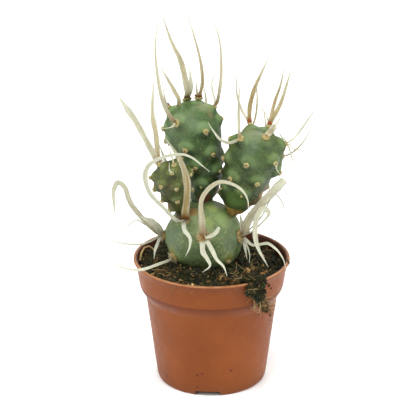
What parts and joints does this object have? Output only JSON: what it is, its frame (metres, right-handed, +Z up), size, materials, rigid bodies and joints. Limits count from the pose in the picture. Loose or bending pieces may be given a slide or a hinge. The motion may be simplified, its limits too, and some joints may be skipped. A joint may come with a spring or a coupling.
{
  "type": "potted cactus",
  "caption": "Paper spine cactus with oval tubercled joints and long papery spines, rooted in peat in a tapered plastic nursery pot.",
  "frame": {"origin": "on the ground under the centre of the pot's foot", "axes": "+Z up, +X to the right and -Y towards the viewer of the pictured side"},
  "size_m": [0.119, 0.085, 0.21],
  "materials": {
    "pot_plastic": "satin terracotta-coloured moulded plastic",
    "peat": "moist dark fibrous peat",
    "base_skin": "pale grey-green waxy stem skin",
    "centre_skin": "mottled blue-green waxy stem skin",
    "right_skin": "mottled blue-green waxy stem skin",
    "left_skin": "dark olive green waxy stem skin with corky mottling",
    "papery_spine": "cream translucent papery spine with tan streaks",
    "areole_wool": "tan wool and short bristles",
    "plant_fibre": "dry straw-coloured root fibres and bark crumbs"
  },
  "bodies": {
    "root": {"pot": "pot_plastic", "soil": "peat", "base_segment": "base_skin", "centre_segment": "centre_skin", "right_segment": "right_skin", "left_segment": "left_skin"}
  },
  "joints": []
}
